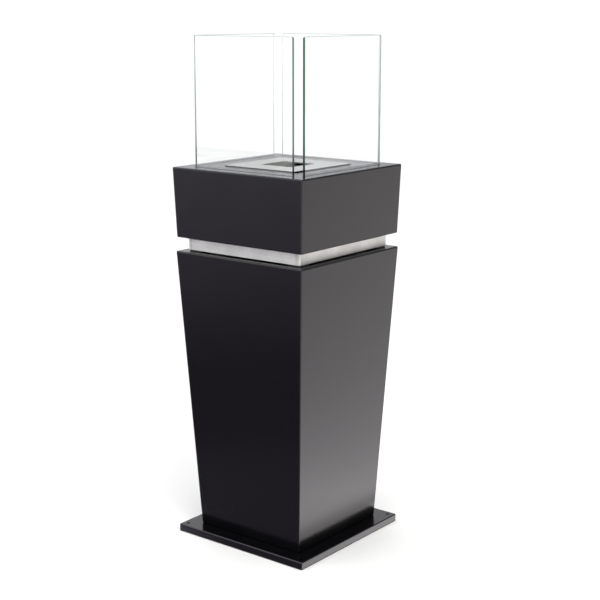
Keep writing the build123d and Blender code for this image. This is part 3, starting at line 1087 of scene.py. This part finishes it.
# %% Weld nuts at the foot and the neck
nut_widths = {"foot_nuts": (0.010, 0.0061), "neck_nuts": (0.013, 0.0081)}
bore_overrun = 3.0


def nut_sizes(node):
    """The sizes of a set of nuts, from its node's box and its own width and bore."""
    low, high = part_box(node)
    width, bore_diameter = nut_widths[node]
    return {
        "Spacing": span(node) - width,
        "Seat": low.z,
        "Width": width,
        "Height": high.z - low.z,
        "Bore": bore_diameter,
    }


nut_tree, nut_in = new_tree("weld_nuts", nut_sizes("foot_nuts"))
bore_radius = half(nut_tree, nut_in["Bore"])
bore_height = math_node(nut_tree, "MULTIPLY", nut_in["Height"], bore_overrun)
bore_values = {"Vertices": round_sides, "Radius": bore_radius, "Depth": bore_height}
bore = grow(nut_tree, "GeometryNodeMeshCylinder", bore_values)
nut = cut(nut_tree, chamfered_hexagon(nut_tree, nut_in), bore)
nut = raised(nut_tree, nut, nut_in["Seat"])
end_tree(nut_tree, set_of_four(nut_tree, nut_in, nut), nut_in["Finish"])
for node in nut_widths:
    nuts = grown_piece(node + "_finish", nut_tree, nut_sizes(node), zinc_plate)
    hand_over(nuts, "pedestal", node)

# %% [markdown]
# Spot welds
#
# The well hangs from the deck by its flange, held by a row of spot welds round the cut-out that the
# burner plate covers. Painted over, each is a low round pip. They follow a square path, so the tree
# resamples the square and sets a pip on every point.

# %% Row of spot welds round the cut-out
flange_overlap = 0.014
pip_sides = 16
pip_taper = 0.6
weld_sizes = {
    "Row Width": span("burner_well") - flange_overlap,
    "Level": deck_level,
    "Radius": 0.0025,
    "Rise": 0.00025,
    "Count": 20,
}
weld_tree, weld_in = new_tree("spot_welds", weld_sizes)
row_values = {"Width": weld_in["Row Width"], "Height": weld_in["Row Width"]}
weld_row = grow(weld_tree, "GeometryNodeCurvePrimitiveQuadrilateral", row_values)
spot_values = {"Curve": weld_row, "Count": weld_in["Count"]}
weld_spots = grow(weld_tree, "GeometryNodeResampleCurve", spot_values)
pip_values = {
    "Vertices": pip_sides,
    "Radius Top": math_node(weld_tree, "MULTIPLY", weld_in["Radius"], pip_taper),
    "Radius Bottom": weld_in["Radius"],
    "Depth": weld_in["Rise"],
}
pip = grow(weld_tree, "GeometryNodeMeshCone", pip_values)
welds = grow(weld_tree, "GeometryNodeInstanceOnPoints", {"Points": weld_spots, "Instance": pip})
end_tree(weld_tree, raised(weld_tree, welds, weld_in["Level"]), weld_in["Finish"])
hand_over(grown_piece("spot_welds", weld_tree, weld_sizes, satin_black), "pedestal")

# %% [markdown]
# Ceramic wool
#
# The cup is packed with ceramic wool that soaks up the fuel. It is pressed flat on the floor and
# walls of the cup, and swells a little up through the holes of the screen that holds it down. So
# the pad starts as a finely divided block, its sides are dented by a noise, and its top is raised
# in the middle of each hole. Loose fibres stand in the holes, scattered by Geometry Nodes with a
# fixed seed.

# %% Where the screen's holes are
screen_hole = 0.010
screen_pitch = 0.013
screen_rows = 6


def hole_share(distance):
    """How far into a hole a place lies along one axis, from 0 at a bar to 1 at the middle."""
    along_pitch = (distance / screen_pitch + screen_rows / 2) % 1 - 0.5
    reach = abs(along_pitch) * screen_pitch / (screen_hole / 2)
    in_rows = abs(distance) < screen_rows * screen_pitch / 2
    return cos(reach * pi / 2) if reach < 1 and in_rows else 0.0


print("screen", screen_rows, "by", screen_rows, "holes")

# %% Wool pad that swells through the screen
wool_low, wool_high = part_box("ceramic_wool")
wool_middle = (wool_low + wool_high) / 2
wool_size = wool_high - wool_low
pad_cuts = 71
pad_dent = 0.0012
dent_scale = 90
hole_swell = 0.0013
swell_scale = 400
swell_spread = 0.4
top_gap = 0.0002
side_limit = 0.999
top_tolerance = 1e-6
pad_mesh = bpy.data.meshes.new("wool_pad")
pad_shape = bmesh.new()
bmesh.ops.create_cube(pad_shape, size=1.0)
bmesh.ops.subdivide_edges(pad_shape, edges=pad_shape.edges, cuts=pad_cuts, use_grid_fill=True)
for corner in pad_shape.verts:
    side = Vector((abs(corner.co.x), abs(corner.co.y), 0)) * 2
    corner.co = Vector(a * b for a, b in zip(corner.co, wool_size)) + wool_middle
    dent = pad_dent * (0.5 + 0.5 * lumps.noise(corner.co * dent_scale))
    if side.x > side_limit:
        corner.co.x -= dent if corner.co.x > 0 else -dent
    if side.y > side_limit:
        corner.co.y -= dent if corner.co.y > 0 else -dent
    if corner.co.z > wool_high.z - top_tolerance:
        swell = hole_swell * hole_share(corner.co.x) * hole_share(corner.co.y)
        corner.co.z += swell * (1 + swell_spread * lumps.noise(corner.co * swell_scale)) - top_gap
bmesh.ops.recalc_face_normals(pad_shape, faces=pad_shape.faces)
pad_shape.to_mesh(pad_mesh)
pad_shape.free()
pad_mesh.materials.append(wool_felt)
pad_mesh.shade_smooth()
wool_pad = bpy.data.objects.new("wool_pad", pad_mesh)
scene.collection.objects.link(wool_pad)
hand_over(wool_pad, "burner", "ceramic_wool")

# %% Places of the loose fibres in the holes
fibre_lift = 0.0006
fibre_sizes = {
    "Pitch": screen_pitch,
    "Level": wool_high.z + fibre_lift,
    "Scatter": 0.0028,
    "Length": 0.0014,
    "Thickness": 0.00012,
    "Rows": screen_rows,
    "Fibres": 12,
    "Seed": 7,
}
fibre_tree, fibre_in = new_tree("wool_fibres", fibre_sizes)


def chance(low, high, seed_step):
    """A random vector for each point, between two corners given as sockets or triples."""
    node = fibre_tree.nodes.new("FunctionNodeRandomValue")
    node.data_type = "FLOAT_VECTOR"
    feed(fibre_tree, node.inputs["Min"], low)
    feed(fibre_tree, node.inputs["Max"], high)
    feed(fibre_tree, node.inputs["Seed"], math_node(fibre_tree, "ADD", fibre_in["Seed"], seed_step))
    return node.outputs["Value"]


def fibre_corner(reach):
    """A corner of the scatter round a hole's middle, at the fibres' level."""
    return grow(fibre_tree, "ShaderNodeCombineXYZ", {"X": reach, "Y": reach, "Z": fibre_in["Level"]})


rows = fibre_in["Rows"]
row_gaps = math_node(fibre_tree, "SUBTRACT", rows, 1.0)
field = math_node(fibre_tree, "MULTIPLY", fibre_in["Pitch"], row_gaps)
hole_values = {"Size X": field, "Size Y": field, "Vertices X": rows, "Vertices Y": rows}
holes = grow(fibre_tree, "GeometryNodeMeshGrid", hole_values)
holes = grow(fibre_tree, "GeometryNodeMeshToPoints", {"Mesh": holes})
copy_values = {"Geometry": holes, "Amount": fibre_in["Fibres"]}
roots = grow(fibre_tree, "GeometryNodeDuplicateElements", copy_values, domain="POINT")
low_corner = fibre_corner(math_node(fibre_tree, "MULTIPLY", fibre_in["Scatter"], -1.0))
scatter = chance(low_corner, fibre_corner(fibre_in["Scatter"]), 0)
roots = grow(fibre_tree, "GeometryNodeSetPosition", {"Geometry": roots, "Offset": scatter})
print("fibres", fibre_sizes["Fibres"], "in each hole")

# %% One bowed fibre on every place
fibre_steps = 4
fibre_sides = 3
fibre_bow = 0.6
fibre_tilt = 0.5
fibre_end = {
    "X": fibre_in["Length"],
    "Z": math_node(fibre_tree, "MULTIPLY", fibre_in["Length"], fibre_bow),
}
arc_values = {
    "Resolution": fibre_steps,
    "Start": (0.0, 0.0, 0.0),
    "Middle": upright(fibre_tree, fibre_in["Length"]),
    "End": grow(fibre_tree, "ShaderNodeCombineXYZ", fibre_end),
}
arc = grow(fibre_tree, "GeometryNodeCurveQuadraticBezier", arc_values)
strand_values = {"Resolution": fibre_sides, "Radius": fibre_in["Thickness"]}
strand = grow(fibre_tree, "GeometryNodeCurvePrimitiveCircle", strand_values)
sweep_values = {"Curve": arc, "Profile Curve": strand, "Fill Caps": True}
fibre = grow(fibre_tree, "GeometryNodeCurveToMesh", sweep_values)
turns = chance((-fibre_tilt, -fibre_tilt, 0.0), (fibre_tilt, fibre_tilt, 2 * pi), 1)
fibre_values = {"Points": roots, "Instance": fibre, "Rotation": turns}
fibres = grow(fibre_tree, "GeometryNodeInstanceOnPoints", fibre_values)
end_tree(fibre_tree, fibres, fibre_in["Finish"])
hand_over(grown_piece("wool_fibres", fibre_tree, fibre_sizes, wool_felt), "burner")

# %% [markdown]
# Plain nodes
#
# Flat-sided pieces need no copy. The strips, channels, spacers and washers keep their frame meshes
# and only take a better material.

# %% Materials on the nodes that stay
kept_finishes = {
    "glass_strip": strip_rubber,
    "glass_channel": dull_primer,
    "neck_spacers": dull_primer,
    "neck_washers": zinc_plate,
}
for name, node in nodes.items():
    for start, material in kept_finishes.items():
        if name.startswith(start):
            node.data.materials.clear()
            node.data.materials.append(material)
            print(name, "takes", material.name)
